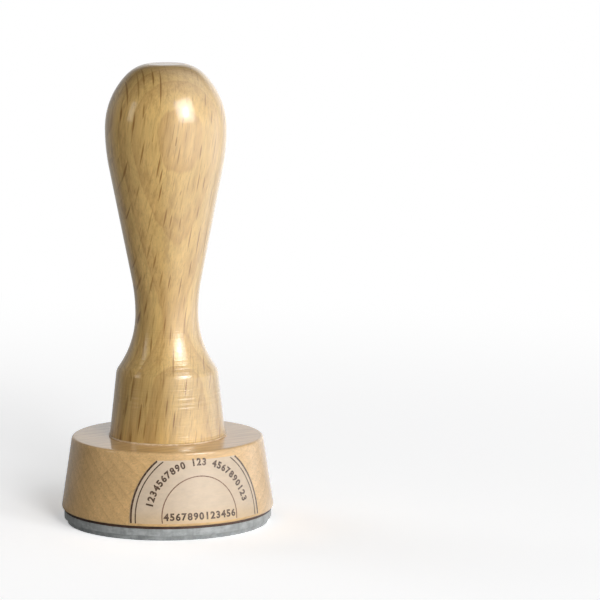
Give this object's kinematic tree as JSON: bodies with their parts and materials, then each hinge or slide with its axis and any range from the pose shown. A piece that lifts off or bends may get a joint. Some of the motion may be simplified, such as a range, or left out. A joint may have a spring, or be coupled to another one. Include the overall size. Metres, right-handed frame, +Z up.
{
  "type": "wooden hand stamp",
  "caption": "Turned beech hand stamp: bulb-shaped handle on a round tapered block with a round rubber die underneath and a rounded label on the block.",
  "frame": {"origin": "centre of the printing face, where the stamp stands on the paper", "axes": "+Z up along the handle, -Y towards the label on the block, X across the label"},
  "size_m": [0.0422, 0.0423, 0.0912],
  "materials": {
    "handle_beech": "clear gloss lacquer on turned beech, grain along the handle",
    "block_beech": "clear gloss lacquer on turned beech, grain across the block",
    "screw_steel": "yellow zinc plating",
    "adhesive_film": "dark brown adhesive film, matt at its cut edge",
    "die_rubber": "grey laser rubber, matt",
    "label_paper": "cream film label with dark brown print"
  },
  "bodies": {
    "root": {"handle": "handle_beech", "mount_block": "block_beech", "handle_screw": "screw_steel", "mounting_film": "adhesive_film", "stamp_die": "die_rubber", "index_label": "label_paper"}
  },
  "joints": []
}
